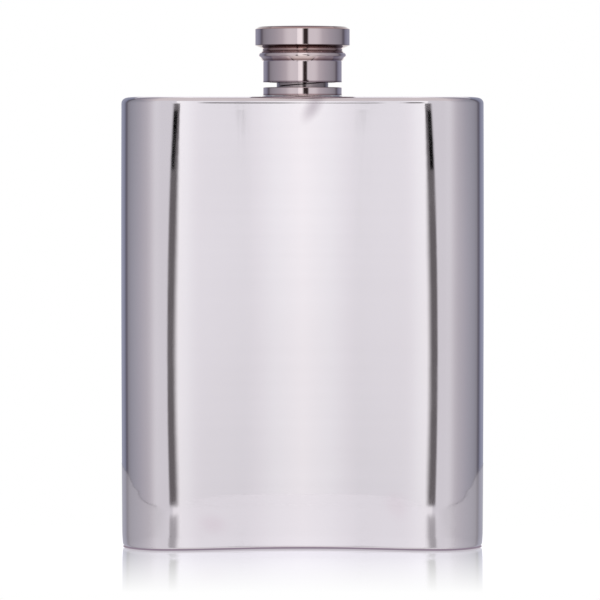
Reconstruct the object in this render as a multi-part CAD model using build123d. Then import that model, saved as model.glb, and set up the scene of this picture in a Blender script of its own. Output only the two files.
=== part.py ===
from build123d import *
import math
import os

# Pewter hip flask with a screw cap. Millimetres, +Z up.
# The origin is the centre of the body's footprint, on the surface that the flask stands on.
# The hollow side that lies against the hip faces -Y, and the bowed outer side faces +Y.

# Body outline at the base and the top plate, where the plates hold the panels to their shape
BODY_HEIGHT = 112.0
SHEET = 1.3                  # thickness of the pewter sheet
END_CENTRE_X = 34.0          # centres of the rounded ends, either side of the middle
END_RADIUS = 11.0
HOLLOW_DEPTH = 4.45          # how far the middle of the hip side lies behind its two horns
HOLLOW_RADIUS = 75.0         # concave curve in the middle of the hip side
HORN_RADIUS = 45.0           # convex curve of each horn, beside the rounded end
MIDDLE_THICKNESS = 23.0      # through the body at its middle

# The panels bow outwards a little between the two plates. These are the amounts at half height.
END_SWELL = 0.15
FACE_SWELL = 0.25
HOLLOW_SWELL = 0.45

TOP_EDGE_RADIUS = 1.8
BASE_EDGE_RADIUS = 1.0
SEAM_WIDTH = 0.5             # solder between the two panels, at each rounded end
SEAM_BEAD_RADIUS = 1.3       # the run of solder behind each seam
CORNER_SOLDER = 1.1          # leg of the fillets of solder inside the body
SOLDER_OVERLAP = 0.05        # the cutter for those fillets passes this far into the wall

# Neck, pushed up through the top plate as far as its flange
NECK_BORE_RADIUS = 5.0
NECK_ROOT_RADIUS = 6.5
NECK_RIM_Z = 126.6
NECK_RIM_CHAMFER = 0.3
NECK_FLANGE_RADIUS = 8.2
NECK_FLANGE_HEIGHT = 0.8
FLANGE_SOLDER_LEG = 0.8

COLLAR_RADIUS = 9.9
COLLAR_HEIGHT = 2.3
COLLAR_EDGE = 0.2
COLLAR_SOLDER_LEG = 0.3

# Screw thread, right-handed
PITCH = 3.0
THREAD_DEPTH = 0.6
THREAD_ROOT_WIDTH = 1.7
THREAD_CREST_WIDTH = 1.1
THREAD_BURIED = 0.15         # how far a ridge reaches into the wall that it stands on
THREAD_CLEARANCE = 0.25      # radial, at the root and the crest
NECK_THREAD_START_Z = 115.3
NECK_THREAD_TURNS = 3.1
NECK_THREAD_START_ANGLE = -142.0
CAP_THREAD_START_Z = 117.0
CAP_THREAD_TURNS = 2.6

# Cap
CAP_BOTTOM_Z = 115.5
SKIRT_RADIUS = 9.9
SKIRT_TOP_Z = 120.75
BEAD_RADIUS = 11.0
BEAD_Z = 122.4
GROOVE_RADIUS = 10.0
GROOVE_Z = 123.6
CROWN_RADIUS = 11.9
CROWN_BOTTOM_Z = 124.75
CROWN_SHOULDER_Z = 128.75
CROWN_SHOULDER_HEIGHT = 0.6
CROWN_FACE_RADIUS = 10.9
CAP_TOP_Z = 130.0
CAP_EDGE = 0.2
BEAD_EDGE = 0.5
INSERT_OUTER_RADIUS = 8.7
INSERT_RECESS = 0.6          # how far the insert stops above the foot of the skirt
INSERT_SOLDER_LEG = 0.35
SEAL_THICKNESS = 1.5

# Values worked out from those above
FRONT_AT_PLATES = -(HOLLOW_DEPTH + MIDDLE_THICKNESS) / 2
REAR_AT_PLATES = -FRONT_AT_PLATES
NECK_Y = FRONT_AT_PLATES + HOLLOW_DEPTH + MIDDLE_THICKNESS / 2
SEAM_Y = FRONT_AT_PLATES + END_RADIUS
CHAMBER_LOW = SHEET
CHAMBER_HIGH = BODY_HEIGHT - SHEET
NECK_THREAD_RADIUS = NECK_ROOT_RADIUS + THREAD_DEPTH
CAP_THREAD_WALL_RADIUS = NECK_THREAD_RADIUS + THREAD_CLEARANCE
SEAL_RADIUS = CAP_THREAD_WALL_RADIUS - THREAD_CLEARANCE
INSERT_BOTTOM_Z = CAP_BOTTOM_Z + INSERT_RECESS
SEAL_TOP_Z = NECK_RIM_Z + SEAL_THICKNESS

# The cap's ridge runs midway between two turns of the neck's ridge
CAP_THREAD_LEAD = CAP_THREAD_START_Z - NECK_THREAD_START_Z + PITCH / 2
CAP_THREAD_START_ANGLE = NECK_THREAD_START_ANGLE + 360 * CAP_THREAD_LEAD / PITCH


def section(z, swell, inset=0.0):
    """The kidney outline at height z, as a face.

    swell runs from 0 at the plates to 1 at half height. inset moves the outline inwards, such as by the
    sheet's thickness: all its arcs keep their centres, so it stays parallel to the outer outline.
    """
    front = FRONT_AT_PLATES - FACE_SWELL * swell
    rear = REAR_AT_PLATES + FACE_SWELL * swell
    depth = HOLLOW_DEPTH - (HOLLOW_SWELL - FACE_SWELL) * swell
    end_x = END_CENTRE_X + END_SWELL * swell

    # Angle of the straight flank that joins the hollow's curve to the horn's, tangent to both
    radii = HOLLOW_RADIUS + HORN_RADIUS
    reach = math.hypot(end_x, radii - depth)
    flank = math.atan2(end_x, radii - depth) - math.acos(radii / reach)

    # The rear arc is tangent to both end circles and passes through the middle of the rear face
    below = rear - front - END_RADIUS
    rear_radius = (end_x**2 + below**2 - END_RADIUS**2) / (2 * (below - END_RADIUS))
    rear_lean = math.atan2(end_x, front + END_RADIUS - rear + rear_radius)

    hollow_centre = front + depth - HOLLOW_RADIUS
    hollow = HOLLOW_RADIUS + inset
    horn = HORN_RADIUS - inset
    end = END_RADIUS - inset
    outer = rear_radius - inset

    def on_circle(x, y, radius, angle):
        return (x + radius * math.sin(angle), y + radius * math.cos(angle))

    def mirrored(point):
        return (-point[0], point[1])

    hollow_edge = on_circle(0, hollow_centre, hollow, flank)
    hollow_middle = on_circle(0, hollow_centre, hollow, 0)
    horn_start = on_circle(end_x, front + HORN_RADIUS, horn, math.pi + flank)
    horn_middle = on_circle(end_x, front + HORN_RADIUS, horn, math.pi + flank / 2)
    end_start = on_circle(end_x, front + END_RADIUS, end, math.pi)
    end_tip = on_circle(end_x, front + END_RADIUS, end, math.pi / 2)
    end_stop = on_circle(end_x, front + END_RADIUS, end, rear_lean)
    rear_middle = on_circle(0, rear - rear_radius, outer, 0)
    edges = [
        ThreePointArc(mirrored(hollow_edge), hollow_middle, hollow_edge),
        Line(hollow_edge, horn_start),
        ThreePointArc(horn_start, horn_middle, end_start),
        ThreePointArc(end_start, end_tip, end_stop),
        ThreePointArc(end_stop, rear_middle, mirrored(end_stop)),
        ThreePointArc(mirrored(end_stop), mirrored(end_tip), mirrored(end_start)),
        ThreePointArc(mirrored(end_start), mirrored(horn_middle), mirrored(horn_start)),
        Line(mirrored(horn_start), mirrored(hollow_edge)),
    ]
    return Pos(0, 0, z) * make_face(edges)


def bowed_solid(inset):
    """The body as a solid that is a little fuller at half height than at its two ends."""
    stations = [(0, 0), (BODY_HEIGHT / 2, 1), (BODY_HEIGHT, 0)]
    return loft([section(z, swell, inset) for z, swell in stations])


def slab(low, high):
    """Everything between two heights, to cut the body with."""
    side = 4 * END_CENTRE_X
    return Pos(0, 0, (low + high) / 2) * Box(side, side, high - low)


def layer(low_y, high_y):
    """Everything between two depths, to cut the body with."""
    side = 2 * BODY_HEIGHT
    return Pos(0, (low_y + high_y) / 2, BODY_HEIGHT / 2) * Box(side, high_y - low_y, side)


def neck_cylinder(radius, low, high):
    """A cylinder on the neck's axis, between two heights."""
    return Pos(0, NECK_Y, (low + high) / 2) * Cylinder(radius, high - low)


def turned(points):
    """A solid of revolution about the neck's axis, from (radius, height) points."""
    outline = make_face(Polyline([(r, 0, z) for r, z in points], close=True))
    return Pos(0, NECK_Y, 0) * revolve(outline, Axis.Z)


def rounded(solid, radius, *edges):
    """Rounds the turned edges of a solid that are named by their (radius, height)."""
    chosen = [
        e
        for e in solid.edges().filter_by(GeomType.CIRCLE)
        for r, z in edges
        if abs(e.radius - r) < 0.01 and abs(e.center().Z - z) < 0.01
    ]
    return fillet(chosen, radius)


def ridge(wall_radius, outwards, start_z, turns, start_angle):
    """One helical ridge of the thread. It stands on a wall, outwards (1) or inwards (-1)."""
    foot = wall_radius - outwards * THREAD_BURIED
    crest = wall_radius + outwards * THREAD_DEPTH
    path = Helix(PITCH, PITCH * turns, wall_radius)
    profile = [
        (foot, 0, -THREAD_ROOT_WIDTH / 2),
        (crest, 0, -THREAD_CREST_WIDTH / 2),
        (crest, 0, THREAD_CREST_WIDTH / 2),
        (foot, 0, THREAD_ROOT_WIDTH / 2),
    ]
    tooth = make_face(Polyline(profile, close=True))
    swept = sweep(tooth, path=path, is_frenet=True)
    return Pos(0, NECK_Y, start_z) * Rot(0, 0, start_angle) * swept


# Body

outer_body = bowed_solid(0)
outer_body = fillet(outer_body.edges().group_by(Axis.Z)[-1], TOP_EDGE_RADIUS)
outer_body = fillet(outer_body.edges().group_by(Axis.Z)[0], BASE_EDGE_RADIUS)
chamber = bowed_solid(SHEET)
wall = (outer_body - chamber) & slab(CHAMBER_LOW, CHAMBER_HIGH)


def base_plate():
    return outer_body & slab(0, CHAMBER_LOW)


def top_plate():
    plate = outer_body & slab(CHAMBER_HIGH, BODY_HEIGHT)
    return plate - neck_cylinder(NECK_ROOT_RADIUS, CHAMBER_HIGH - 1, BODY_HEIGHT + 1)


def hip_side_panel():
    return wall & layer(2 * FRONT_AT_PLATES, SEAM_Y - SEAM_WIDTH / 2)


def outer_side_panel():
    return wall & layer(SEAM_Y + SEAM_WIDTH / 2, 2 * REAR_AT_PLATES)


def side_seam(side):
    """The solder in the joint at one rounded end, with the run of solder behind it."""
    half = 2 * END_CENTRE_X
    one_end = Pos(side * half, 0, BODY_HEIGHT / 2) * Box(half, half, 2 * BODY_HEIGHT)
    joint = wall & layer(SEAM_Y - SEAM_WIDTH / 2, SEAM_Y + SEAM_WIDTH / 2) & one_end
    bead_x = side * (END_CENTRE_X + END_RADIUS - SHEET)
    bead_height = CHAMBER_HIGH - CHAMBER_LOW - 2 * CORNER_SOLDER
    bead = Pos(bead_x, SEAM_Y, BODY_HEIGHT / 2) * Cylinder(SEAM_BEAD_RADIUS, bead_height)
    return joint + (bead & chamber)


def corner_solder(plate_z, direction):
    """The fillet of solder where the walls meet a plate. direction points from the plate into the body."""
    far_z = plate_z + direction * CORNER_SOLDER
    core = loft([section(plate_z, 0, SHEET + CORNER_SOLDER), section(far_z, 0, SHEET - SOLDER_OVERLAP)])
    return (chamber & slab(min(plate_z, far_z), max(plate_z, far_z))) - core


# Neck

def threaded_neck():
    flange_bottom = CHAMBER_HIGH - NECK_FLANGE_HEIGHT
    neck = turned([
        (NECK_BORE_RADIUS, flange_bottom),
        (NECK_FLANGE_RADIUS, flange_bottom),
        (NECK_FLANGE_RADIUS, CHAMBER_HIGH),
        (NECK_ROOT_RADIUS, CHAMBER_HIGH),
        (NECK_ROOT_RADIUS, NECK_RIM_Z - NECK_RIM_CHAMFER),
        (NECK_ROOT_RADIUS - NECK_RIM_CHAMFER, NECK_RIM_Z),
        (NECK_BORE_RADIUS + NECK_RIM_CHAMFER, NECK_RIM_Z),
        (NECK_BORE_RADIUS, NECK_RIM_Z - NECK_RIM_CHAMFER),
    ])
    thread = ridge(NECK_ROOT_RADIUS, 1, NECK_THREAD_START_Z, NECK_THREAD_TURNS, NECK_THREAD_START_ANGLE)
    return neck + thread


def neck_root_solder():
    """A fillet of solder round the flange, under the top plate."""
    return turned([
        (NECK_FLANGE_RADIUS, CHAMBER_HIGH),
        (NECK_FLANGE_RADIUS + FLANGE_SOLDER_LEG, CHAMBER_HIGH),
        (NECK_FLANGE_RADIUS, CHAMBER_HIGH - FLANGE_SOLDER_LEG),
    ])


def neck_collar():
    top = BODY_HEIGHT + COLLAR_HEIGHT
    collar = neck_cylinder(COLLAR_RADIUS, BODY_HEIGHT, top)
    collar = rounded(collar, COLLAR_EDGE, (COLLAR_RADIUS, top))
    return collar - neck_cylinder(NECK_ROOT_RADIUS, BODY_HEIGHT - 1, top + 1)


def neck_collar_solder():
    """The flare of solder round the foot of the collar."""
    return turned([
        (COLLAR_RADIUS, BODY_HEIGHT),
        (COLLAR_RADIUS + COLLAR_SOLDER_LEG, BODY_HEIGHT),
        (COLLAR_RADIUS, BODY_HEIGHT + COLLAR_SOLDER_LEG),
    ])


# Cap

def cap_shell():
    cap = turned([
        (0, CAP_BOTTOM_Z),
        (SKIRT_RADIUS, CAP_BOTTOM_Z),
        (SKIRT_RADIUS, SKIRT_TOP_Z),
        (BEAD_RADIUS, BEAD_Z),
        (GROOVE_RADIUS, GROOVE_Z),
        (CROWN_RADIUS, CROWN_BOTTOM_Z),
        (CROWN_RADIUS, CROWN_SHOULDER_Z),
        (CROWN_FACE_RADIUS, CROWN_SHOULDER_Z + CROWN_SHOULDER_HEIGHT),
        (0, CAP_TOP_Z),
    ])
    cap = rounded(cap, BEAD_EDGE, (BEAD_RADIUS, BEAD_Z))
    cap = rounded(
        cap,
        CAP_EDGE,
        (SKIRT_RADIUS, CAP_BOTTOM_Z),
        (CROWN_RADIUS, CROWN_BOTTOM_Z),
        (CROWN_RADIUS, CROWN_SHOULDER_Z),
        (CROWN_FACE_RADIUS, CROWN_SHOULDER_Z + CROWN_SHOULDER_HEIGHT),
    )
    return cap - neck_cylinder(INSERT_OUTER_RADIUS, CAP_BOTTOM_Z - 1, SEAL_TOP_Z)


def cap_thread_insert():
    """The sleeve soldered in the cap, with the ridge that runs on the neck's thread."""
    sleeve = neck_cylinder(INSERT_OUTER_RADIUS, INSERT_BOTTOM_Z, SEAL_TOP_Z)
    sleeve -= neck_cylinder(CAP_THREAD_WALL_RADIUS, INSERT_BOTTOM_Z - 1, SEAL_TOP_Z + 1)
    thread = ridge(
        CAP_THREAD_WALL_RADIUS, -1, CAP_THREAD_START_Z, CAP_THREAD_TURNS, CAP_THREAD_START_ANGLE
    )
    return sleeve + thread


def cap_insert_solder():
    """The fillet of solder in the corner between the skirt and the foot of the insert."""
    return turned([
        (INSERT_OUTER_RADIUS, INSERT_BOTTOM_Z),
        (INSERT_OUTER_RADIUS, INSERT_BOTTOM_Z - INSERT_SOLDER_LEG),
        (INSERT_OUTER_RADIUS - INSERT_SOLDER_LEG, INSERT_BOTTOM_Z),
    ])


def cap_seal():
    """The disc that is squeezed between the neck's rim and the cap."""
    return neck_cylinder(SEAL_RADIUS, NECK_RIM_Z, SEAL_TOP_Z)


parts = {
    "base_plate": base_plate(),
    "top_plate": top_plate(),
    "hip_side_panel": hip_side_panel(),
    "outer_side_panel": outer_side_panel(),
    "left_side_seam": side_seam(-1),
    "right_side_seam": side_seam(1),
    "base_corner_solder": corner_solder(CHAMBER_LOW, 1),
    "top_corner_solder": corner_solder(CHAMBER_HIGH, -1),
    "threaded_neck": threaded_neck(),
    "neck_root_solder": neck_root_solder(),
    "neck_collar": neck_collar(),
    "neck_collar_solder": neck_collar_solder(),
    "cap_shell": cap_shell(),
    "cap_thread_insert": cap_thread_insert(),
    "cap_insert_solder": cap_insert_solder(),
    "cap_seal": cap_seal(),
}
os.makedirs("parts", exist_ok=True)
for name, shape in parts.items():
    export_step(shape, f"parts/{name}.step")
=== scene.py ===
import math

import bpy
import numpy as np
from mathutils import Matrix, Vector

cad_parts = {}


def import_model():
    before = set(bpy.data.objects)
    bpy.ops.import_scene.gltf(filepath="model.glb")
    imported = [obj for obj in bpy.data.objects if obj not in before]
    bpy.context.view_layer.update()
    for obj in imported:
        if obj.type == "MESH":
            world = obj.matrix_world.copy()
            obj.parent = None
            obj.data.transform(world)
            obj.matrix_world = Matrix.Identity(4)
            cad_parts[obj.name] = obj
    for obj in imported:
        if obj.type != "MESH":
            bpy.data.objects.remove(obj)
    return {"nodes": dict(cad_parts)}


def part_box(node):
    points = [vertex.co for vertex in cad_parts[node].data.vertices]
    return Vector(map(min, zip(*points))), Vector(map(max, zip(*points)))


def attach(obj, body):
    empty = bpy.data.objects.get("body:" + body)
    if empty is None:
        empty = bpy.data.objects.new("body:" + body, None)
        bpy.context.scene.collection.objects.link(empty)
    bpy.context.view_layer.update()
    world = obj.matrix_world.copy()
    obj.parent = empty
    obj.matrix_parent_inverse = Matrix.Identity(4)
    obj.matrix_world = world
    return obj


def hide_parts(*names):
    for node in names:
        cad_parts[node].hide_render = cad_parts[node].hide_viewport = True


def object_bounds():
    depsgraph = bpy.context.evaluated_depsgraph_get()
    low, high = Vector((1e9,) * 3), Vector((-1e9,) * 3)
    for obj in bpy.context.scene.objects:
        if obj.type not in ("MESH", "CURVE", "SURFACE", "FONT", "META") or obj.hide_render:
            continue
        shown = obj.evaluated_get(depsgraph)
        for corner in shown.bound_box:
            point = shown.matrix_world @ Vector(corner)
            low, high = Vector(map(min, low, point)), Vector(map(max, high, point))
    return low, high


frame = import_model()
cad_low, cad_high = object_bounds()

# A polished pewter hip flask with a nickel-plated neck and cap. Metres, in the CAD model's frame:
# +Z up, the hollow hip side towards -Y, the base on Z = 0.
# The body's heights, the seams and the neck's axis are read from the CAD nodes. The kidney section and the
# turned profiles repeat the CAD's dimensions as numbers. The meshes are finer ones of the same surfaces,
# but the foot turns in a little more than the CAD's.

MM = 0.001
scene = bpy.context.scene

# Places read from the frame
base_low, base_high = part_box("base_plate")
top_low, top_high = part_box("top_plate")
hip_low, hip_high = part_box("hip_side_panel")
outer_low, outer_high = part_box("outer_side_panel")
neck_low, neck_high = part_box("threaded_neck")
collar_low, collar_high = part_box("neck_collar")
flare_low, flare_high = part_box("neck_collar_solder")
shell_low, shell_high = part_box("cap_shell")
insert_low, insert_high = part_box("cap_thread_insert")

BODY_HEIGHT = top_high.z
SHEET = base_high.z
NECK_Y = (collar_low.y + collar_high.y) / 2
SEAM_Y = (hip_high.y + outer_low.y) / 2
SEAM_WIDTH = outer_low.y - hip_high.y

# The kidney section, as the CAD model has it
END_RADIUS = 11 * MM
HOLLOW_RADIUS = 75 * MM
HORN_RADIUS = 45 * MM
HOLLOW_DEPTH = 4.45 * MM
END_SWELL = 0.15 * MM
FACE_SWELL = 0.25 * MM
HOLLOW_SWELL = 0.45 * MM
END_CENTRE_X = cad_high.x - END_RADIUS - END_SWELL
FRONT_AT_PLATES = SEAM_Y - END_RADIUS
REAR_AT_PLATES = -FRONT_AT_PLATES
TOP_EDGE_RADIUS = 1.8 * MM
BASE_EDGE_RADIUS = 1.0 * MM
FOOT_HEIGHT, FOOT_INSET = 3.4 * MM, 0.22 * MM
SEAM_DEPTH = SHEET + 0.6 * MM
NECK_HOLE_RADIUS = 6.5 * MM
BEND_EASING = 1.2 * MM       # length over which the sheet's curvature changes from one bend to the next

OUTLINE_STEPS = 2400         # along half of the outline, where it is worked out
COLUMN_PITCH = 0.45 * MM
ROW_PITCH = 1.2 * MM
ROUND_STEPS = 240            # round a turned piece


# ---------------------------------------------------------------------------------------------- meshes

class Skin:
    """Collects grids of points with their true normals, and joins them into one closed mesh."""

    def __init__(self):
        self.points, self.normals, self.faces = [], [], []
        self.count = 0

    def grid(self, points, normals):
        """Adds a grid. points and normals are arrays of rows x columns x 3."""
        rows, columns = points.shape[:2]
        index = np.arange(rows * columns).reshape(rows, columns)
        quads = np.stack([index[:-1, :-1], index[:-1, 1:], index[1:, 1:], index[1:, :-1]], axis=-1)
        quads = quads.reshape(-1, 4)
        flat, flat_normals = points.reshape(-1, 3), normals.reshape(-1, 3)
        across = np.cross(flat[quads[:, 2]] - flat[quads[:, 0]], flat[quads[:, 3]] - flat[quads[:, 1]])
        if (across * flat_normals[quads].sum(axis=1)).sum() < 0:
            quads = quads[:, ::-1]
        self.points.append(flat)
        self.normals.append(flat_normals)
        self.faces.append(quads + self.count)
        self.count += len(flat)

    def band(self, first, second, normal, rows=2):
        """Adds a flat strip between two lines of points, with one normal all over."""
        share = np.linspace(0, 1, rows)[:, None, None]
        points = first * (1 - share) + second * share
        self.grid(points, np.broadcast_to(np.asarray(normal, float), points.shape))

    def build(self, name):
        points, normals = np.vstack(self.points), np.vstack(self.normals)
        keys = np.round(points / (0.0005 * MM)).astype(np.int64)
        _, first, merged = np.unique(keys, axis=0, return_index=True, return_inverse=True)
        merged = merged.reshape(-1)
        polygons, corners = [], []
        for face in np.vstack(self.faces).tolist():
            kept = []
            for corner in face:
                if merged[corner] not in [merged[c] for c in kept]:
                    kept.append(corner)
            if len(kept) > 2:
                polygons.append([int(merged[c]) for c in kept])
                corners.extend(kept)
        mesh = bpy.data.meshes.new(name)
        mesh.from_pydata(points[first].tolist(), [], polygons)
        mesh.shade_smooth()
        true_normals = normals[corners]
        lengths = np.linalg.norm(true_normals, axis=1, keepdims=True)
        mesh.normals_split_custom_set((true_normals / lengths).tolist())
        piece = bpy.data.objects.new(name, mesh)
        scene.collection.objects.link(piece)
        return piece


def fit(piece, body, node, material):
    """Puts a piece on its CAD body, in place of a CAD node, with its material."""
    piece.data.materials.append(material)
    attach(piece, body)
    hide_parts(*node.split())
    return piece


# ---------------------------------------------------------------------------------------------- outline

def swell_at(z):
    """How far the panels have bowed: 0 at the plates, 1 at half height."""
    return 1 - ((z - BODY_HEIGHT / 2) / (BODY_HEIGHT / 2)) ** 2


outlines = {}


def half_outline(z):
    """The right half of the kidney outline at height z, from the middle of the hollow to the middle of
    the rear: length along it, x, y and heading, as arrays. The bends run into one another smoothly."""
    key = round(z / (0.001 * MM))
    if key in outlines:
        return outlines[key]
    swell = swell_at(z)
    front = FRONT_AT_PLATES - FACE_SWELL * swell
    rear = REAR_AT_PLATES + FACE_SWELL * swell
    depth = HOLLOW_DEPTH - (HOLLOW_SWELL - FACE_SWELL) * swell
    end_x = END_CENTRE_X + END_SWELL * swell
    radii = HOLLOW_RADIUS + HORN_RADIUS
    reach = math.hypot(end_x, radii - depth)
    flank = math.atan2(end_x, radii - depth) - math.acos(radii / reach)
    below = rear - front - END_RADIUS
    rear_radius = (end_x**2 + below**2 - END_RADIUS**2) / (2 * (below - END_RADIUS))
    lean = math.atan2(end_x, front + END_RADIUS - rear + rear_radius)
    bends = [
        (HOLLOW_RADIUS * flank, -1 / HOLLOW_RADIUS),
        (math.sqrt(reach**2 - radii**2), 0),
        (HORN_RADIUS * flank, 1 / HORN_RADIUS),
        (END_RADIUS * (math.pi - lean), 1 / END_RADIUS),
        (rear_radius * lean, 1 / rear_radius),
    ]
    ends = np.cumsum([length for length, _ in bends])
    along = np.linspace(0, ends[-1], OUTLINE_STEPS)
    step = along[1]
    bend = np.minimum(np.searchsorted(ends, along), len(bends) - 1)
    curvature = np.array([c for _, c in bends])[bend]

    # Easing: a weighted mean of the curvature, which runs on as its mirror image past both ends
    margin = int(3 * BEND_EASING / step)
    weights = np.exp(-0.5 * (np.arange(-margin, margin + 1) * step / BEND_EASING) ** 2)
    padded = np.pad(curvature, margin, mode="reflect")
    curvature = np.convolve(padded, weights / weights.sum(), mode="valid")

    def summed(values):
        return np.concatenate([[0], np.cumsum((values[1:] + values[:-1]) / 2) * step])

    heading = summed(curvature)
    heading *= math.pi / heading[-1]
    x = summed(np.cos(heading))
    x -= x[-1] * along / along[-1]
    x *= (end_x + END_RADIUS) / x.max()
    y = summed(np.sin(heading))
    y = front + (y - y.min()) * (rear - front) / (y.max() - y.min())
    outlines[key] = (along, x, y, heading)
    return outlines[key]


def seam_edges(z):
    """Where the side seam starts and stops, as lengths along the outline."""
    along, _, y, heading = half_outline(z)
    tip = np.searchsorted(heading, math.pi / 2)
    near_tip = slice(tip - OUTLINE_STEPS // 20, tip + OUTLINE_STEPS // 20)
    start = np.interp(SEAM_Y - SEAM_WIDTH / 2, y[near_tip], along[near_tip])
    stop = np.interp(SEAM_Y + SEAM_WIDTH / 2, y[near_tip], along[near_tip])
    return start, stop


def ring(z, inset, places, side):
    """Points and outward normals at these lengths along the outline, moved inwards by inset.
    side is 1 for the right half and -1 for the left, for each place."""
    along, x, y, heading = half_outline(z)
    angle = np.interp(places, along, heading)
    normal_x, normal_y = np.sin(angle), -np.cos(angle)
    points = np.stack([
        (np.interp(places, along, x) - inset * normal_x) * side,
        np.interp(places, along, y) - inset * normal_y,
        np.full(len(places), z),
    ], axis=-1)
    normals = np.stack([normal_x * side, normal_y, np.zeros(len(places))], axis=-1)
    return points, normals


def leaning_ring(z, inset, places_at, side, lean):
    """A ring whose normals also lean with the panels' bow and with a rounded edge."""
    small = 0.5 * MM
    points, normals = ring(z, inset, places_at(z), side)
    above = ring(z + small, inset, places_at(z + small), side)[0]
    below = ring(z - small, inset, places_at(z - small), side)[0]
    outwards = ((above - below) * normals).sum(axis=1) / (2 * small)
    tip = (lean - np.arctan(outwards))[:, None]
    return points, normals * np.cos(tip) + np.array([0, 0, 1]) * np.sin(tip)


def foot(z):
    """The slight turning-in of the panels towards the base: its inset, and how far the normal tips down."""
    share = max(0.0, 1 - z / FOOT_HEIGHT)
    slope = FOOT_INSET / FOOT_HEIGHT * (0.4 + 1.2 * share)
    return FOOT_INSET * (0.4 * share + 0.6 * share**2), math.atan(slope) * (share > 0)


def skin_rows(low, high):
    """(height, inset, lean) of each row of the outer skin between two heights. The top and base edges
    are rounded, and lean is how far the normal then tips up."""
    rows = []
    round_low, round_high = BASE_EDGE_RADIUS, BODY_HEIGHT - TOP_EDGE_RADIUS
    if low < round_low:
        for angle in np.linspace(math.pi / 2, 0, 9)[:-1]:
            drop, inset = math.sin(angle), 1 - math.cos(angle)
            turned_in, tip = foot(round_low)
            tip += angle * (1 - 2 * tip / math.pi)
            rows.append((round_low - BASE_EDGE_RADIUS * drop, BASE_EDGE_RADIUS * inset + turned_in, -tip))
    straight_low, straight_high = max(low, round_low), min(high, round_high)
    if straight_low < straight_high:
        count = max(2, round((straight_high - straight_low) / ROW_PITCH))
        heights = set(np.linspace(straight_low, straight_high, count))
        heights |= {z for z in np.linspace(round_low, FOOT_HEIGHT, 7) if straight_low < z < straight_high}
        rows += [(z, foot(z)[0], -foot(z)[1]) for z in sorted(heights)]
    if high > round_high:
        first = math.asin(max(0.0, (low - round_high) / TOP_EDGE_RADIUS))
        last = math.asin(min(1.0, (high - round_high) / TOP_EDGE_RADIUS))
        start = 1 if straight_low < straight_high else 0
        for angle in np.linspace(first, last, 10)[start:]:
            rise, inset = math.sin(angle), 1 - math.cos(angle)
            rows.append((round_high + TOP_EDGE_RADIUS * rise, TOP_EDGE_RADIUS * inset, angle))
    return rows


def wrapped_sheet(name, places_at, side, edge_normals, thickness):
    """A strip of sheet metal between the two plates. edge_normals face out at its two long edges."""
    outer, outer_normals, inner, inner_normals = [], [], [], []
    for z, inset, lean in skin_rows(SHEET, BODY_HEIGHT - SHEET):
        points, normals = leaning_ring(z, inset, places_at, side, lean)
        outer.append(points)
        outer_normals.append(normals)
        points, normals = ring(z, thickness, places_at(z), side)
        inner.append(points)
        inner_normals.append(-normals)
    outer, inner = np.array(outer), np.array(inner)
    skin = Skin()
    skin.grid(outer, np.array(outer_normals))
    skin.grid(inner, np.array(inner_normals))
    skin.band(outer[0], inner[0], (0, 0, -1))
    skin.band(outer[-1], inner[-1], (0, 0, 1))
    skin.band(outer[:, 0], inner[:, 0], edge_normals[0])
    skin.band(outer[:, -1], inner[:, -1], edge_normals[1])
    return skin.build(name)


def hip_panel():
    """The hollow side: from one seam, round the front, to the other."""
    columns = round(cad_high.x * 2.3 / COLUMN_PITCH) | 1
    share = np.linspace(-1, 1, columns)

    def places_at(z):
        return np.abs(share) * seam_edges(z)[0]

    side = np.where(share < 0, -1.0, 1.0)
    return wrapped_sheet("hip_panel", places_at, side, [(0, 1, 0), (0, 1, 0)], SHEET)


def outer_panel():
    """The bowed side: from one seam, round the rear, to the other."""
    columns = round(cad_high.x * 2.5 / COLUMN_PITCH) | 1
    share = np.linspace(-1, 1, columns)

    def places_at(z):
        stop = seam_edges(z)[1]
        whole = half_outline(z)[0][-1]
        return whole - np.abs(share) * (whole - stop)

    side = np.where(share < 0, -1.0, 1.0)
    return wrapped_sheet("outer_panel", places_at, side, [(0, -1, 0), (0, -1, 0)], SHEET)


def side_seam(name, side):
    """The dressed solder between the two panels, at one rounded end."""
    share = np.linspace(0, 1, 5)

    def places_at(z):
        start, stop = seam_edges(z)
        return start + share * (stop - start)

    return wrapped_sheet(name, places_at, side, [(0, -1, 0), (0, 1, 0)], SEAM_DEPTH)


def plate(name, low, high, face_z, hole_radius):
    """A plate that fills the outline between two heights, with its visible face at face_z."""
    count = round(cad_high.x * 2.4 / COLUMN_PITCH)
    share = np.concatenate([np.linspace(0, 1, count), np.linspace(1, 0, count)[1:]])
    side = np.where(np.arange(len(share)) < count, 1.0, -1.0)

    def places_at(z):
        return share * half_outline(z)[0][-1]

    rim, rim_normals = [], []
    for z, inset, lean in skin_rows(low, high):
        points, normals = leaning_ring(z, inset, places_at, side, lean)
        rim.append(points)
        rim_normals.append(normals)
    rim = np.array(rim)
    skin = Skin()
    skin.grid(rim, np.array(rim_normals))

    # The hole's circle, with its columns at the same bearings as the rim's
    middle = np.array([0, NECK_Y, 0])
    bearing = np.unwrap(np.arctan2(rim[0][:, 0], NECK_Y - rim[0][:, 1]))
    circle = np.stack([np.sin(bearing), -np.cos(bearing), np.zeros(len(bearing))], axis=-1)
    face, back = (rim[-1], rim[0]) if face_z > BODY_HEIGHT / 2 else (rim[0], rim[-1])
    upwards = 1 if face_z > BODY_HEIGHT / 2 else -1
    face_hole = middle + circle * hole_radius + np.array([0, 0, face[0, 2]])
    back_hole = middle + circle * hole_radius + np.array([0, 0, back[0, 2]])
    skin.band(face, face_hole, (0, 0, upwards), rows=30)
    skin.band(back, back_hole, (0, 0, -upwards), rows=8)
    if hole_radius > 0:
        skin.grid(np.stack([face_hole, back_hole]), np.stack([-circle, -circle]))
    return skin.build(name)


# ---------------------------------------------------------------------------------------------- turned

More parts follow.
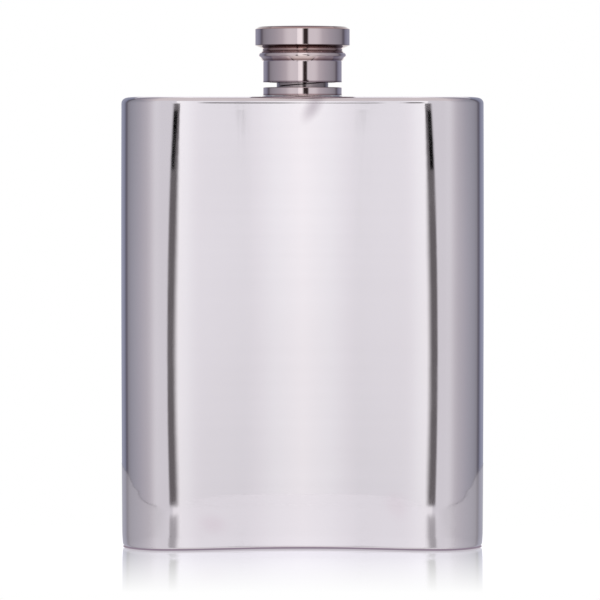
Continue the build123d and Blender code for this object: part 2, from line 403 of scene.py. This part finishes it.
def eased_profile(corners):
    """Points and normals round a closed profile in the (radius, height) plane, with its corners rounded.
    corners are (radius, height, rounding), in millimetres, anticlockwise seen with the radius to the
    right and the height up, so that the outside is on the right of the path."""
    places = [Vector((r, z)) * MM for r, z, _ in corners]
    points, normals = [], []
    last = len(corners)
    for i in range(last):
        before, here, after = places[i - 1], places[i], places[(i + 1) % last]
        inwards, outwards = (here - before).normalized(), (after - here).normalized()
        out_normal_before = Vector((inwards.y, -inwards.x))
        out_normal_after = Vector((outwards.y, -outwards.x))
        turn = math.atan2(inwards.cross(outwards), inwards.dot(outwards))
        radius = corners[i][2] * MM
        if radius == 0 or abs(turn) < 1e-6:
            points += [here, here]
            normals += [out_normal_before, out_normal_after]
            continue
        cut = radius * math.tan(abs(turn) / 2)
        start = here - inwards * cut
        toward_centre = out_normal_before * (-1 if turn > 0 else 1)
        centre = start + toward_centre * radius
        steps = max(3, math.ceil(abs(turn) / math.radians(7)))
        for k in range(steps + 1):
            angle = turn * k / steps
            normal = out_normal_before.copy()
            normal.rotate(Matrix.Rotation(angle, 2))
            points.append(centre + normal * radius * (1 if turn > 0 else -1))
            normals.append(normal)
    return points, normals


def turned(name, corners):
    """A closed turned piece on the neck's axis."""
    points, normals = eased_profile(corners)
    points.append(points[0])
    normals.append(normals[0])
    angle = np.linspace(0, 2 * math.pi, ROUND_STEPS + 1)
    angle[-1] = 0
    ring_x, ring_y = np.sin(angle), -np.cos(angle)
    radius = np.array([p.x for p in points])[:, None]
    height = np.array([p.y for p in points])[:, None]
    normal_r = np.array([n.x for n in normals])[:, None]
    normal_z = np.array([n.y for n in normals])[:, None]
    flat = np.zeros_like(angle)
    grid = np.stack([radius * ring_x, radius * ring_y + NECK_Y, height + flat], axis=-1)
    grid_normals = np.stack([normal_r * ring_x, normal_r * ring_y, normal_z + flat], axis=-1)
    skin = Skin()
    for i in range(len(points) - 1):
        if (points[i + 1] - points[i]).length > 1e-7:
            skin.grid(grid[i:i + 2], grid_normals[i:i + 2])
    return skin.build(name)


# ---------------------------------------------------------------------------------------------- materials

def material(name):
    """A node material with its Principled shader, and a helper that adds and links a node."""
    made = bpy.data.materials.new(name)
    made.use_nodes = True
    tree = made.node_tree
    shader = tree.nodes["Principled BSDF"]

    def add(kind, settings=None, **inputs):
        node = tree.nodes.new(kind)
        for key, value in (settings or {}).items():
            setattr(node, key, value)
        for key, value in inputs.items():
            by_place = key[1:].isdigit()
            socket = node.inputs[int(key[1:]) if by_place else key.replace("_", " ")]
            if isinstance(value, bpy.types.NodeSocket):
                tree.links.new(value, socket)
            else:
                socket.default_value = value
        return node

    return made, tree, shader, add


def ranged(add, value, start, stop, first, last, smooth=False):
    """Maps a value from start..stop to first..last."""
    kind = "SMOOTHSTEP" if smooth else "LINEAR"
    node = add("ShaderNodeMapRange", {"interpolation_type": kind}, Value=value)
    for name, number in (("From Min", start), ("From Max", stop), ("To Min", first), ("To Max", last)):
        node.inputs[name].default_value = number
    return node.outputs["Result"]


def multiplied(add, share, first, second):
    """Multiplies one colour by another, by a share. The numbers are the Mix node's colour sockets."""
    mix = add("ShaderNodeMix", {"data_type": "RGBA", "blend_type": "MULTIPLY"}, _0=share, _6=first, _7=second)
    return mix.outputs[2]


def grey(value, tint=(1, 1, 1)):
    return tuple(value * t for t in tint) + (1,)


def polished_metal(name, dark, light, roughness, scratch=0.02, ripple=0.0, grain=(1, 1, 1), bands=None,
                   marks=()):
    """Polished metal with the faint clouding, hairlines and ripple that hand polishing leaves.
    dark and light are colours. roughness is (least, most). grain stretches the hairlines. bands are
    (height in millimetres, colour): painted shade and painted reflection, with the brownish tint of brass
    under thin plating, which tint the metal by its height. marks are painted reflections, darker patches:
    (place, half sizes, lean in degrees, colour)."""
    made, tree, shader, add = material(name)
    link = tree.links.new
    place = add("ShaderNodeTexCoord").outputs["Object"]
    shader.inputs["Metallic"].default_value = 1

    cloud = add("ShaderNodeTexNoise", Vector=place, Scale=28, Detail=4, Roughness=0.55)
    tone = add("ShaderNodeValToRGB", Fac=cloud.outputs["Fac"])
    tone.color_ramp.elements[0].position, tone.color_ramp.elements[1].position = 0.3, 0.7
    tone.color_ramp.elements[0].color, tone.color_ramp.elements[1].color = dark, light
    colour = tone.outputs["Color"]
    # Bands by height: painted shade and painted reflection, multiplied into the metal's colour
    if bands:
        low, high = bands[0][0], bands[-1][0]
        height = ranged(add, object_axes(add)["Z"], low * MM, high * MM, 0, 1)
        painted_shade = ramp_colour(add, height, [((z - low) / (high - low), c) for z, c in bands])
        colour = multiplied(add, 1.0, colour, painted_shade)
    # Marks: darker patches painted into the colour as reflections of small dents
    for middle, sizes, lean, tint in marks:
        mapped = add("ShaderNodeMapping", {"vector_type": "TEXTURE"}, Vector=place)
        mapped.inputs["Location"].default_value = [m * MM for m in middle]
        mapped.inputs["Rotation"].default_value = (0, math.radians(lean), 0)
        mapped.inputs["Scale"].default_value = [m * MM for m in sizes]
        far = add("ShaderNodeVectorMath", {"operation": "LENGTH"}, _0=mapped.outputs["Vector"])
        cover = ranged(add, far.outputs["Value"], 1.0, 0.0, 0, 1, smooth=True)
        colour = multiplied(add, cover, colour, tint + (1,))
    link(colour, shader.inputs["Base Color"])

    stretched = add("ShaderNodeMapping", Vector=place)
    stretched.inputs["Scale"].default_value = grain
    hair = add("ShaderNodeTexNoise", Vector=stretched.outputs["Vector"], Scale=900, Detail=3, Roughness=0.6)
    worn = add("ShaderNodeTexNoise", Vector=place, Scale=90, Detail=5, Roughness=0.6)
    blend = add("ShaderNodeMath", {"operation": "MULTIPLY_ADD"}, _0=hair.outputs["Fac"], _1=0.5)
    half = add("ShaderNodeMath", {"operation": "MULTIPLY"}, _0=worn.outputs["Fac"], _1=0.5)
    link(half.outputs[0], blend.inputs[2])
    rough = add("ShaderNodeMapRange", Value=blend.outputs[0])
    rough.inputs["From Min"].default_value, rough.inputs["From Max"].default_value = 0.35, 0.65
    rough.inputs["To Min"].default_value, rough.inputs["To Max"].default_value = roughness
    link(rough.outputs["Result"], shader.inputs["Roughness"])

    bump = add("ShaderNodeBump", Height=hair.outputs["Fac"], Strength=scratch, Distance=0.02 * MM)
    if ripple:
        wave = add("ShaderNodeTexNoise", Vector=place, Scale=55, Detail=1)
        soft = add("ShaderNodeBump", Height=wave.outputs["Fac"], Strength=ripple, Distance=0.1 * MM)
        link(soft.outputs["Normal"], bump.inputs["Normal"])
    link(bump.outputs["Normal"], shader.inputs["Normal"])
    return made


def glow(name):
    """An emission material: its tree, its emission node, and the helper that adds nodes."""
    made, tree, shader, add = material(name)
    emit = add("ShaderNodeEmission")
    tree.links.new(emit.outputs["Emission"], tree.nodes["Material Output"].inputs["Surface"])
    tree.nodes.remove(shader)
    return made, tree, emit, add


# ---------------------------------------------------------------------------------------------- stage

def stage_mesh(name, points, faces, made, seen=False):
    mesh = bpy.data.meshes.new(name)
    mesh.from_pydata(points, [], faces)
    mesh.materials.append(made)
    thing = bpy.data.objects.new(name, mesh)
    scene.collection.objects.link(thing)
    thing.visible_camera = seen
    return thing


# Colour of the studio round the flask, by the bearing from straight in front, in degrees. These levels
# were matched to colours measured in the photo, and so were the ceiling, the ground, the strips and the
# bands of painted shade and painted reflection on the nickel.
STUDIO = [
    (0, (1.02, 1.01, 1.00)),
    (9, (0.95, 0.95, 0.95)),
    (15, (0.88, 0.87, 0.88)),
    (22, (0.80, 0.80, 0.81)),
    (34, (0.64, 0.62, 0.64)),
    (50, (0.52, 0.50, 0.53)),
    (70, (0.43, 0.42, 0.46)),
    (86, (0.37, 0.37, 0.41)),
    (97, (0.33, 0.33, 0.37)),
    (107, (0.28, 0.28, 0.31)),
    (114, (0.15, 0.14, 0.17)),
    (119, (0.14, 0.14, 0.17)),
    (125, (0.24, 0.25, 0.33)),
    (140, (0.34, 0.36, 0.45)),
    (156, (0.36, 0.38, 0.47)),
    (162, (1.20, 1.20, 1.20)),
    (180, (1.20, 1.20, 1.20)),
]
CEILING = [
    (0, (0.67, 0.62, 0.61)),
    (22, (0.67, 0.62, 0.61)),
    (42, (0.50, 0.46, 0.48)),
    (75, (0.30, 0.28, 0.32)),
    (115, (0.28, 0.27, 0.31)),
    (135, (1.10, 1.10, 1.10)),
    (180, (1.10, 1.10, 1.10)),
]
GROUND = [
    (0, (1.30, 1.24, 1.10)),
    (18, (1.15, 1.08, 0.96)),
    (38, (0.35, 0.32, 0.32)),
    (65, (0.04, 0.03, 0.04)),
    (180, (0.02, 0.02, 0.02)),
]


def ramp_colour(add, fraction, stops):
    """A colour ramp from (position, colour) stops."""
    ramp = add("ShaderNodeValToRGB", Fac=fraction)
    made = ramp.color_ramp.elements
    made[0].position, made[0].color = stops[0][0], stops[0][1] + (1,)
    made[1].position, made[1].color = stops[-1][0], stops[-1][1] + (1,)
    for position, colour in stops[1:-1]:
        made.new(position).color = colour + (1,)
    return ramp.outputs["Color"]


def object_axes(add):
    return add("ShaderNodeSeparateXYZ", Vector=add("ShaderNodeTexCoord").outputs["Object"]).outputs


def product(add, first, second):
    return add("ShaderNodeMath", {"operation": "MULTIPLY"}, _0=first, _1=second).outputs[0]


def drum(radius, low, high, steps=180):
    """Points and faces of an open upright cylinder."""
    turn = [2 * math.pi * i / steps for i in range(steps)]
    points = [(radius * math.sin(a), -radius * math.cos(a), z) for z in (low, high) for a in turn]
    faces = [(i, (i + 1) % steps, steps + (i + 1) % steps, steps + i) for i in range(steps)]
    return points, faces


def aside_from_middle(add, x):
    return add("ShaderNodeMath", {"operation": "ABSOLUTE"}, _0=x).outputs[0]


def bearing_of(add, x, ahead):
    """The angle round from straight in front, in parts of half a turn."""
    aside = aside_from_middle(add, x)
    angle = add("ShaderNodeMath", {"operation": "ARCTAN2"}, _0=aside, _1=ahead).outputs[0]
    return product(add, angle, 1 / math.pi)


def turned_stops(stops):
    return [(degrees / 180, colour) for degrees, colour in stops]


def studio_surround():
    """A drum of light round the flask, brightest in front, with a ceiling and a ground."""
    made, tree, emit, add = glow("studio_light")
    x, y, z = object_axes(add)
    bearing = bearing_of(add, x, product(add, y, -1.0))
    tree.links.new(ramp_colour(add, bearing, turned_stops(STUDIO)), emit.inputs["Color"])
    level = ranged(add, z, -80 * MM, 130 * MM, 0.9, 1.03)
    above = ranged(add, z, 170 * MM, 420 * MM, 0, 0.1, smooth=True)
    below = ranged(add, z, -90 * MM, -260 * MM, 0, 1, smooth=True)
    far = add("ShaderNodeMath", {"operation": "MAXIMUM"}, _0=above, _1=below).outputs[0]
    shoulder = add("ShaderNodeMath", {"operation": "MULTIPLY_ADD"}, _0=far, _1=0.8)
    tree.links.new(ranged(add, z, 50 * MM, 130 * MM, 0, 0.12), shoulder.inputs[2])
    gloom = product(add, shoulder.outputs[0], ranged(add, bearing, 0.11, 0.38, 0, 1))
    kept = add("ShaderNodeMath", {"operation": "SUBTRACT"}, _0=1.0, _1=gloom).outputs[0]
    tree.links.new(product(add, level, kept), emit.inputs["Strength"])
    points, faces = drum(500 * MM, -400 * MM, 550 * MM)
    stage_mesh("studio_surround", points, faces, made)

    half = len(points) // 2
    for name, rim, middle_y, stops in (
        ("studio_ceiling", points[half:], 150 * MM, CEILING), ("studio_ground", points[:half], 0, GROUND),
    ):
        made, tree, emit, add = glow(name)
        x, y, _ = object_axes(add)
        ahead = add("ShaderNodeMath", {"operation": "SUBTRACT"}, _0=middle_y, _1=y).outputs[0]
        colour = ramp_colour(add, bearing_of(add, x, ahead), turned_stops(stops))
        tree.links.new(colour, emit.inputs["Color"])
        stage_mesh(name, rim, [tuple(range(half))], made)


CARD_Y = -95 * MM            # the dark strips stand just inside the front edge of the glossy sheet
LINE_REST_Z = 40 * MM        # the height at which the strips stand widest apart
WIDEST_STRIP_X = 30.2 * MM
NEAREST_STRIP_X = 18 * MM    # any nearer the middle and the hollow would mirror a strip a second time
STRIP_ROWS = 28


def strip_x(z):
    """How far the middle of a dark strip stands from the flask's own middle, at a height."""
    rise, drop = max(0, z - LINE_REST_Z), max(0, LINE_REST_Z - z)
    return WIDEST_STRIP_X - 8.5 * MM * (rise / (70 * MM)) ** 2 - 3 * MM * (drop / (40 * MM)) ** 2


def see_through(name):
    """A material that covers what is behind it by a share: its tree, emission, mix node and helper."""
    made, tree, emit, add = glow(name)
    mix = add("ShaderNodeMixShader")
    tree.links.new(add("ShaderNodeBsdfTransparent").outputs[0], mix.inputs[1])
    tree.links.new(emit.outputs[0], mix.inputs[2])
    tree.links.new(mix.outputs[0], tree.nodes["Material Output"].inputs["Surface"])
    return made, tree, emit, mix, add


def upright_card(name, material, rows, low, high, depth, columns):
    """A card standing at Y = depth. columns(z) gives its points across, as (x, share covered)."""
    points, faces, cover = [], [], []
    for i in range(rows + 1):
        z = low + (high - low) * i / rows
        across = columns(z)
        points += [(x, depth, z) for x, share in across]
        cover += [share for x, share in across]
        if i:
            first, wide = (i - 1) * len(across), len(across)
            for j in range(first, first + wide - 1):
                faces.append((j, j + 1, wide + j + 1, wide + j))
    card = stage_mesh(name, points, faces, material)
    layer = card.data.uv_layers.new(name="cover")
    for loop in card.data.loops:
        layer.data[loop.index].uv = (cover[loop.vertex_index], 0)
    return card


def covering(name, colour):
    """A glowing material that hides what is behind it where the card's own cover share says so."""
    made, tree, emit, mix, add = see_through(name)
    emit.inputs["Color"].default_value = colour
    share = add("ShaderNodeSeparateXYZ", Vector=add("ShaderNodeUVMap", {"uv_map": "cover"}).outputs["UV"])
    tree.links.new(ranged(add, share.outputs["X"], 0, 1, 0, 1, smooth=True), mix.inputs[0])
    return made


def dark_strip(name, side, depth, low, high, offset, outer, core, inner, shade):
    """A narrow upright card with soft edges, which draws a dark line in the metal. offset moves its core
    outwards. outer, core and inner are the widths of the outer fade, the solid core and the inner fade."""
    def columns(z):
        middle = strip_x(z) + offset
        near = max(middle - core / 2 - inner, NEAREST_STRIP_X)
        return [
            (side * near, 0), (side * (middle - core / 2), 1),
            (side * (middle + core / 2), 1), (side * (middle + core / 2 + outer), 0),
        ]

    upright_card(name, covering(name, grey(shade, (1, 0.93, 0.95))), STRIP_ROWS, low, high, depth, columns)


def side_card(name, side):
    """The dimmer flap outside each strip, which the rounded ends mirror."""
    def columns(z):
        inside = strip_x(min(max(z, 0), 112 * MM))
        return [(side * inside, 1), (side * 46 * MM, 1), (side * 112 * MM, 0)]

    colour = grey(0.70, (1, 0.985, 1.01))
    upright_card(name, covering(name, colour), STRIP_ROWS, -60 * MM, 200 * MM, CARD_Y - 2 * MM, columns)


def dark_cards():
    for side, word in ((-1, "left"), (1, "right")):
        dark_strip(f"{word}_grey_strip", side, CARD_Y, 1.5 * MM, 113 * MM, 0, 4 * MM, 5 * MM, 8 * MM, 0.14)
        dark_strip(f"{word}_black_strip", side, CARD_Y + 1 * MM, 94 * MM, 110.3 * MM, 1.5 * MM, 1 * MM,
                   3.6 * MM, 1 * MM, 0.004)
        side_card(f"{word}_side_card", side)

    # The cap and the collar mirror two more, close enough to be out of the view of the body's face
    dark = grey(0.035, (1, 0.75, 0.75))
    for name, away, low, high, across in (
        ("cap_dark_card", -80 * MM, 116.3 * MM, 134 * MM, ((-4, 0), (6, 1), (15, 1), (22, 0))),
        ("collar_dark_card", -35 * MM, 112.8 * MM, 116.4 * MM, ((-1.5, 0), (3, 1), (8, 1), (12, 0))),
    ):
        places = [(x * MM, share) for x, share in across]
        upright_card(name, covering(name, dark), 1, low, high, away, lambda z, places=places: places)


TABLE_MIDDLE_Y, TABLE_HALF_X, TABLE_HALF_Y = 60 * MM, 206 * MM, 168 * MM


def table_ring(scale, z, steps=120):
    turn = [2 * math.pi * i / steps for i in range(steps)]
    return [
        (TABLE_HALF_X * scale * math.sin(a), TABLE_MIDDLE_Y - TABLE_HALF_Y * scale * math.cos(a), z)
        for a in turn
    ]


def blended(tree, add, first, second):
    """Shows a mix of two shaders on a material, and gives the mix's share as a socket to set."""
    mix = add("ShaderNodeMixShader", _1=first.outputs[0], _2=second.outputs[0])
    tree.links.new(mix.outputs[0], tree.nodes["Material Output"].inputs["Surface"])
    return mix.inputs[0]


def table():
    """A white table. The camera sees white, with the flask's mirror image fading away from its foot."""
    made, tree, shader, add = material("table_white")
    tree.nodes.remove(shader)
    white = add("ShaderNodeEmission", Color=(1, 1, 1, 1))
    mirror = add("ShaderNodeBsdfGlossy", Color=(0.98, 0.96, 1.06, 1), Roughness=0.07)
    x, y, _ = object_axes(add)
    front = ranged(add, y, -93 * MM, -16 * MM, 0.0, 0.6)
    back = ranged(add, y, 5 * MM, 45 * MM, 1.0, 0.0, smooth=True)
    spread = ranged(add, aside_from_middle(add, x), 52 * MM, 85 * MM, 1.0, 0.0, smooth=True)
    share = product(add, product(add, front, back), spread)
    tree.links.new(share, blended(tree, add, white, mirror))
    side, drop = 3.0, -0.02 * MM
    square = [(-side, -side, drop), (side, -side, drop), (side, side, drop), (-side, side, drop)]
    thing = stage_mesh("table", square, [(0, 1, 2, 3)], made, seen=True)
    thing.visible_glossy = False
    thing.visible_diffuse = False


def glossy_sheet():
    """What the flask mirrors where the table is: a pale glossy sheet, darker at its edge."""
    made, tree, shader, add = material("glossy_sheet")
    tree.nodes.remove(shader)
    aside = aside_from_middle(add, object_axes(add)["X"])
    pale = add("ShaderNodeEmission", Color=(1.0, 0.98, 1.0, 1))
    tree.links.new(ranged(add, aside, 22 * MM, 60 * MM, 0.84, 0.55, smooth=True), pale.inputs["Strength"])
    mirror = add("ShaderNodeBsdfGlossy", Color=(1, 1, 1, 1), Roughness=0.16)
    blended(tree, add, pale, mirror).default_value = 0.60
    rim = table_ring(1, -0.04 * MM)
    stage_mesh("glossy_sheet", rim, [tuple(range(len(rim)))], made)

    made, tree, emit, mix, add = see_through("sheet_edge")
    emit.inputs["Color"].default_value = grey(0.1)
    aside = aside_from_middle(add, object_axes(add)["X"])
    tree.links.new(ranged(add, aside, 45 * MM, 90 * MM, 0.0, 0.5), mix.inputs[0])
    rings = table_ring(1, 0.01 * MM) + table_ring(0.985, 0.01 * MM)
    count = len(rings) // 2
    faces = [(i, (i + 1) % count, count + (i + 1) % count, count + i) for i in range(count)]
    stage_mesh("sheet_edge", rings, faces, made)


def contact_shadow():
    """The dark gap under the flask's rounded foot."""
    made, _, emit, _ = glow("contact_shadow")
    emit.inputs["Color"].default_value = grey(0.3, (1, 0.82, 1))
    whole = half_outline(0)[0][-1]
    places = np.linspace(0, whole, 200)
    right = ring(0, 0.25 * MM, places, 1)[0]
    left = ring(0, 0.25 * MM, places[1:-1][::-1], -1)[0]
    outline = [tuple(p) for p in np.vstack([right, left]) - np.array([0, 0, 0.01 * MM])]
    stage_mesh("contact_shadow", outline, [tuple(range(len(outline)))], made, seen=True)


def world():
    made = bpy.data.worlds.new("studio")
    scene.world = made
    made.use_nodes = True
    background = made.node_tree.nodes["Background"]
    background.inputs["Color"].default_value = (1, 1, 1, 1)
    background.inputs["Strength"].default_value = 1.0
    scene.view_settings.view_transform = "Standard"


def camera():
    """At the height of the flask's shoulder, a little above its middle, looking slightly down."""
    data = bpy.data.cameras.new("camera")
    data.sensor_width = 36
    data.lens = 216.6
    data.clip_start, data.clip_end = 0.05, 20
    eye = bpy.data.objects.new("camera", data)
    scene.collection.objects.link(eye)
    distance, height, aim = 900 * MM, 105 * MM, 61.3 * MM
    eye.location = (-0.62 * MM, -distance, height)
    eye.rotation_euler = (math.pi / 2 - math.atan2(height - aim, distance), 0, 0)
    scene.camera = eye


# ---------------------------------------------------------------------------------------------- assembly

camera()
world()
studio_surround()
table()
glossy_sheet()
contact_shadow()
dark_cards()

# Darker patches painted into the pewter's colour: painted reflections of small dents by the collar and by the
# foot
PAINTED_REFLECTION_MARKS = [
    ((2.6, -8, 109.4), (2.8, 9, 6.0), 33, (0.66, 0.63, 0.66)),
    ((-22.5, -8, 6.5), (6, 9, 4), 12, (0.93, 0.86, 0.89)),
    ((23.5, -8, 11), (4.5, 9, 6), -25, (0.95, 0.89, 0.91)),
    ((-32.6, -8, 3.6), (0.5, 9, 0.5), 0, (0.35, 0.33, 0.36)),
]
pewter = polished_metal(
    "polished_pewter", grey(0.85, (1, 0.953, 1.01)), grey(0.87, (1, 0.957, 1.015)), (0.035, 0.085),
    scratch=0.04, ripple=0.02, grain=(1, 1, 0.08), marks=PAINTED_REFLECTION_MARKS,
)
# Bands by height on the nickel of the collar and the cap: painted shade in the grooves, under the crown and
# at the edges, with the brownish tint of brass under thin plating, and a painted bluish reflection at the
# crown's top edge
PAINTED_SHADE_BANDS = [
    (112.0, (0.25, 0.17, 0.17)), (112.5, (0.60, 0.50, 0.50)), (112.8, (1, 1, 1)), (114.0, (1, 1, 1)),
    (114.3, (0.55, 0.45, 0.46)), (115.5, (0.30, 0.25, 0.28)), (115.8, (0.60, 0.55, 0.58)),
    (116.0, (1, 1, 1)), (120.8, (1, 1, 1)), (121.0, (0.34, 0.27, 0.26)), (121.25, (0.62, 0.53, 0.50)),
    (121.6, (1, 0.96, 0.90)), (122.8, (1, 1, 1)),
    (123.35, (0.30, 0.22, 0.20)), (123.6, (0.52, 0.42, 0.39)), (123.9, (0.74, 0.62, 0.58)),
    (124.3, (0.28, 0.20, 0.18)), (124.75, (0.24, 0.17, 0.16)), (124.9, (1, 1, 1)), (128.6, (1, 1, 1)),
    (128.8, (0.55, 0.40, 0.36)), (129.0, (0.22, 0.15, 0.16)), (129.4, (0.12, 0.10, 0.12)),
    (129.7, (0.30, 0.36, 0.48)), (130.0, (0.60, 0.65, 0.75)),
]
nickel = polished_metal(
    "nickel_plate", grey(0.80, (1, 0.87, 0.90)), grey(0.84, (1, 0.88, 0.915)), (0.02, 0.06),
    scratch=0.03, grain=(0.2, 0.2, 1), bands=PAINTED_SHADE_BANDS,
)
# A darker copy of the nickel for the threads: painted shade, as the neck sits in shade between the cap and
# the collar
thread_metal_painted_shade = polished_metal(
    "thread_metal_painted_shade", grey(0.36, (1, 0.86, 0.89)), grey(0.46, (1, 0.87, 0.9)), (0.08, 0.2), scratch=0.05,
)
solder = polished_metal("solder", grey(0.72), grey(0.8), (0.1, 0.3), scratch=0.1)
rubber = polished_metal("seal_rubber", grey(0.7), grey(0.8), (0.5, 0.7), scratch=0.1)
rubber.node_tree.nodes["Principled BSDF"].inputs["Metallic"].default_value = 0

fit(hip_panel(), "flask", "hip_side_panel", pewter)
fit(outer_panel(), "flask", "outer_side_panel", pewter)
fit(side_seam("right_seam", 1), "flask", "right_side_seam", pewter)
fit(side_seam("left_seam", -1), "flask", "left_side_seam", pewter)
top_sheet = plate("top_sheet", BODY_HEIGHT - SHEET, BODY_HEIGHT, BODY_HEIGHT, NECK_HOLE_RADIUS)
fit(top_sheet, "flask", "top_plate", pewter)
fit(plate("base_sheet", 0, SHEET, 0, 0), "flask", "base_plate", pewter)

collar = [(6.5, 112, 0), (9.9, 112, 0), (9.9, 114.3, 0.2), (6.5, 114.3, 0.1)]
fit(turned("collar", collar), "flask", "neck_collar", nickel)

cap = [
    (0, 128.1, 0), (8.7, 128.1, 0), (8.7, 115.5, 0.15), (9.9, 115.5, 0.15), (9.9, 120.75, 0.25),
    (11.0, 122.1, 0.7), (10.85, 122.75, 0.5), (10.0, 123.4, 0.2), (10.0, 123.9, 0.2),
    (11.9, 124.75, 0.2), (11.9, 128.75, 0.15), (10.9, 129.35, 0.3), (0, 130, 0),
]
fit(turned("cap_turned_shell", cap), "cap", "cap_shell", nickel)

# The nodes that keep their CAD shape get only a material
INNER_LOOKS = {"threaded_neck": thread_metal_painted_shade, "cap_thread_insert": thread_metal_painted_shade, "cap_seal": rubber}
for name in frame["nodes"]:
    node = frame["nodes"][name]
    if node.hide_render:
        continue
    node.data.materials.clear()
    node.data.materials.append(INNER_LOOKS.get(name, solder))
